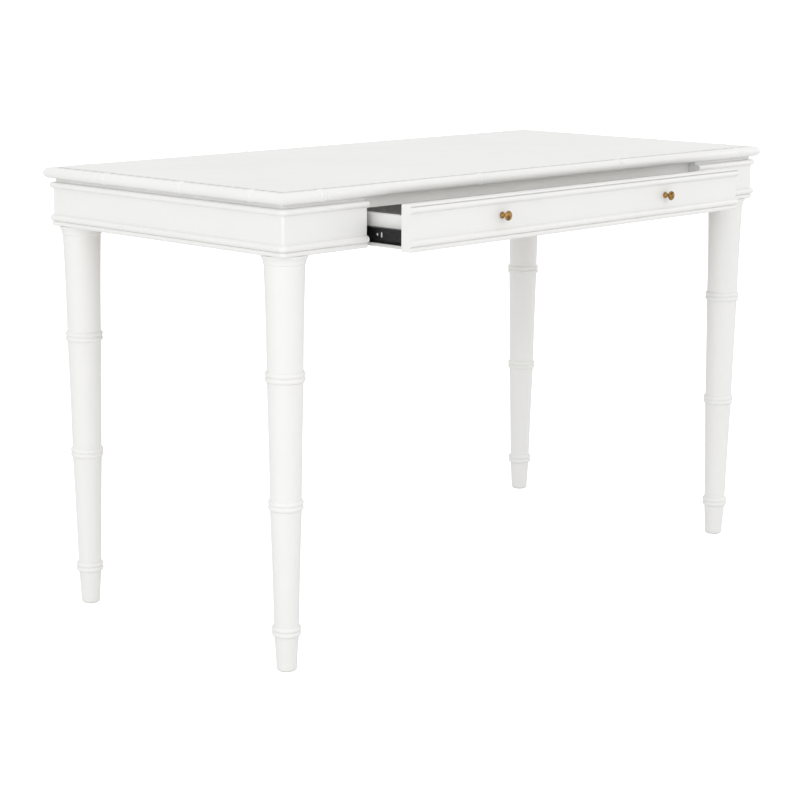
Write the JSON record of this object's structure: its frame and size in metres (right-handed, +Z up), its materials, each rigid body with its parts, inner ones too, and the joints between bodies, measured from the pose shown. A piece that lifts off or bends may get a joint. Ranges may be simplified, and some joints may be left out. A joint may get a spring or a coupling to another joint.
{
  "type": "writing desk with drawer",
  "caption": "Rectangular writing desk with turned bamboo-style legs, beaded aprons, a half-round edged top and a wide shallow drawer with small round knobs.",
  "frame": {"origin": "on the floor, under the middle of the bounding box with the drawer ajar", "axes": "+X along the desk to the right seen from the drawer side, -Y towards the person sitting at it (the drawer opens that way), +Z up"},
  "size_m": [1.2218, 0.681, 0.75],
  "materials": {
    "lacquer_top": "satin white lacquer",
    "lacquer": "satin white lacquer over turned and moulded wood",
    "bare_wood": "sanded bare hardwood",
    "drawer_board": "white faced board",
    "antique_brass": "antiqued, darkened brass with rubbed highlights",
    "black_steel": "black electrophoretic coat, semi-gloss",
    "zinc_steel": "bright zinc plate",
    "ball_steel": "polished bearing steel",
    "glide_plastic": "moulded nylon"
  },
  "bodies": {
    "desk": {"top_panel": "lacquer_top", "edge_moulding_front": "lacquer", "edge_moulding_back": "lacquer", "edge_moulding_left": "lacquer", "edge_moulding_right": "lacquer", "spacer_strip_back": "lacquer", "spacer_strip_front_left": "lacquer", "spacer_strip_front_right": "lacquer", "spacer_strip_left": "lacquer", "spacer_strip_right": "lacquer", "apron_back": "lacquer", "apron_left": "lacquer", "apron_right": "lacquer", "apron_front_left": "lacquer", "apron_front_right": "lacquer", "front_rail": "lacquer", "back_cleat": "bare_wood", "end_cleat_left": "bare_wood", "end_cleat_right": "bare_wood", "runner_wall_left": "bare_wood", "runner_wall_right": "bare_wood", "corner_block_front_left": "bare_wood", "corner_block_front_right": "bare_wood", "corner_block_back_left": "bare_wood", "corner_block_back_right": "bare_wood", "leg_front_left": "lacquer", "leg_front_right": "lacquer", "leg_back_left": "lacquer", "leg_back_right": "lacquer", "foot_glides": "glide_plastic", "hanger_bolts": "zinc_steel", "bolt_washers": "zinc_steel", "bolt_nuts": "zinc_steel", "block_screws": "zinc_steel", "top_screws": "zinc_steel", "channel_screws": "zinc_steel", "slide_channel_left": "black_steel", "slide_channel_right": "black_steel"},
    "ball_retainers": {"ball_retainer_left": "zinc_steel", "ball_retainer_right": "zinc_steel", "slide_balls_left": "ball_steel", "slide_balls_right": "ball_steel"},
    "drawer": {"drawer_front": "lacquer", "drawer_box_front": "lacquer", "drawer_box_back": "lacquer", "drawer_side_left": "lacquer", "drawer_side_right": "lacquer", "drawer_bottom": "drawer_board", "knob_left": "antique_brass", "knob_right": "antique_brass", "knob_screws": "zinc_steel", "front_screws": "zinc_steel", "runner_screws": "zinc_steel", "slide_runner_left": "black_steel", "slide_runner_right": "black_steel"}
  },
  "joints": [
    {"name": "drawer_slide", "type": "slide", "parent": "desk", "child": "drawer", "axis": [0, -1, 0], "range_m": [-0.088, 0.212]},
    {"name": "ball_retainer_slide", "type": "slide", "parent": "desk", "child": "ball_retainers", "axis": [0, -1, 0], "range_m": [-0.044, 0.106]}
  ],
  "couplings": [
    {"joint": "ball_retainer_slide", "follows": "drawer_slide", "ratio": 0.5}
  ]
}
